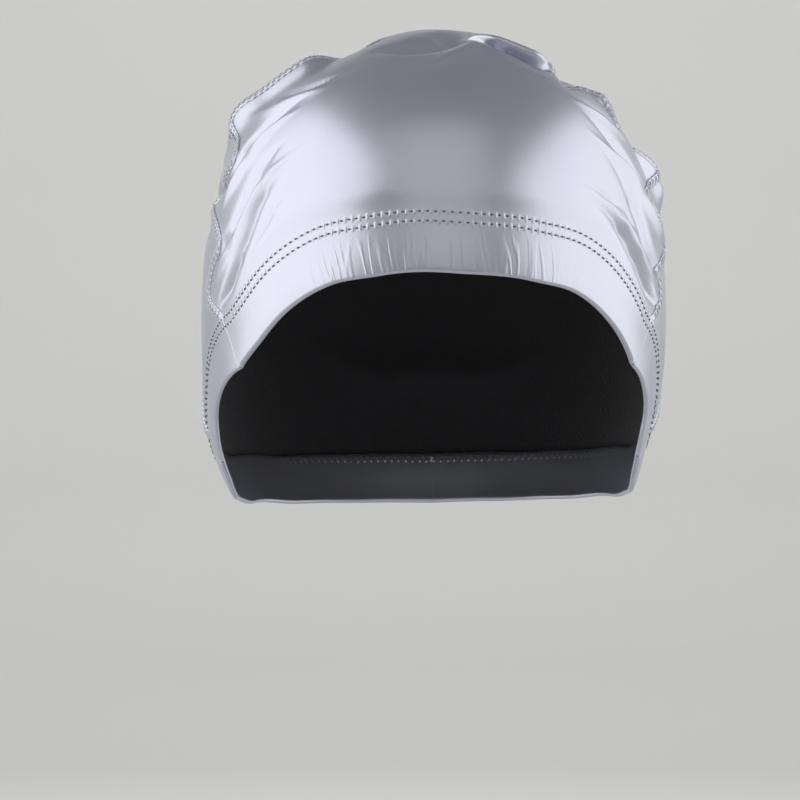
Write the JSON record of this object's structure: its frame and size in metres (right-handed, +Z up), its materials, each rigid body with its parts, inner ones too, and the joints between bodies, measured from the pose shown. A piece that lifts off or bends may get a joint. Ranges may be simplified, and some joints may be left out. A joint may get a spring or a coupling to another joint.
{
  "type": "swim cap",
  "caption": "Swim cap of silver coated knit in its worn form, open below, with panels, raised seams and a turned-in stitched hem.",
  "frame": {"origin": "the inside of the crown, where the cap sits on the head", "axes": "+Z up, the wearer looks along -Y, +X to the wearer's left ear"},
  "size_m": [0.1779, 0.2178, 0.1823],
  "materials": {
    "coated_knit": "satin silver polyurethane coat on a dark knit",
    "seam_thread": "matte light grey sewing thread on the coated seam"
  },
  "bodies": {
    "root": {"front_panel": "coated_knit", "crown_strip": "coated_knit", "back_panel": "coated_knit", "front_seam": "seam_thread", "back_seam": "seam_thread", "hem_fold": "coated_knit"}
  },
  "joints": []
}
